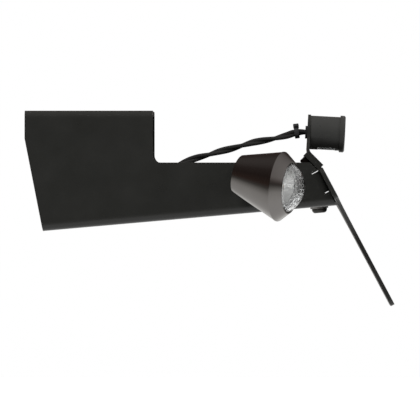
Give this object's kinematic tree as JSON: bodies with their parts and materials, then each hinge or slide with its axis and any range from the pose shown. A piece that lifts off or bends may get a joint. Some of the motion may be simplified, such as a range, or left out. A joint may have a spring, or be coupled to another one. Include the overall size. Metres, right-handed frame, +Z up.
{
  "type": "motorcycle tail tidy",
  "caption": "Folded sheet tail bracket with a tilted plate holder on a tongue, a small cylindrical plate lamp on a tab and a bullet indicator on each side.",
  "frame": {"origin": "centre of the four mounting holes, on the upper face of the mounting ears", "axes": "+X to the vehicle's rear, +Y to the vehicle's right, +Z up"},
  "size_m": [0.1853, 0.1562, 0.098],
  "materials": {
    "coated_sheet": "satin black powder coat",
    "fastener_steel": "zinc plated steel",
    "dark_nuts": "black oxide steel",
    "lamp_shell": "satin black anodised",
    "clear_lens": "clear moulded polycarbonate",
    "board": "printed board",
    "amber_led": "amber resin",
    "reflector": "mirror bright",
    "dark_chrome": "dark polished chrome",
    "soft_rubber": "matte rubber",
    "lead_sheath": "flexible sheath",
    "connector_nylon": "moulded nylon"
  },
  "bodies": {
    "root": {"arm_bracket": "coated_sheet", "plate_holder": "coated_sheet", "holder_screws": "fastener_steel", "holder_nuts": "dark_nuts", "foot_screws": "dark_nuts", "foot_washers": "fastener_steel", "foot_nuts": "dark_nuts", "lamp_bracket": "coated_sheet", "bracket_screws": "fastener_steel", "bracket_nuts": "dark_nuts", "lamp_housing": "lamp_shell", "lamp_cap": "lamp_shell", "lamp_lens": "clear_lens", "lamp_led_board": "board", "lamp_screws": "fastener_steel", "lamp_grommet": "soft_rubber", "lamp_lead": "lead_sheath", "lamp_lead_tie": "connector_nylon", "lamp_connector": "connector_nylon", "lead_saddles": "connector_nylon", "left_housing": "dark_chrome", "left_lens": "clear_lens", "left_reflector": "reflector", "left_led_board": "amber_led", "left_stem": "fastener_steel", "left_rubber_washer": "soft_rubber", "left_washer": "fastener_steel", "left_nut": "fastener_steel", "left_lead": "lead_sheath", "left_connector": "connector_nylon", "right_housing": "dark_chrome", "right_lens": "clear_lens", "right_reflector": "reflector", "right_led_board": "amber_led", "right_stem": "fastener_steel", "right_rubber_washer": "soft_rubber", "right_washer": "fastener_steel", "right_nut": "fastener_steel", "right_lead": "lead_sheath", "right_connector": "connector_nylon"}
  },
  "joints": []
}
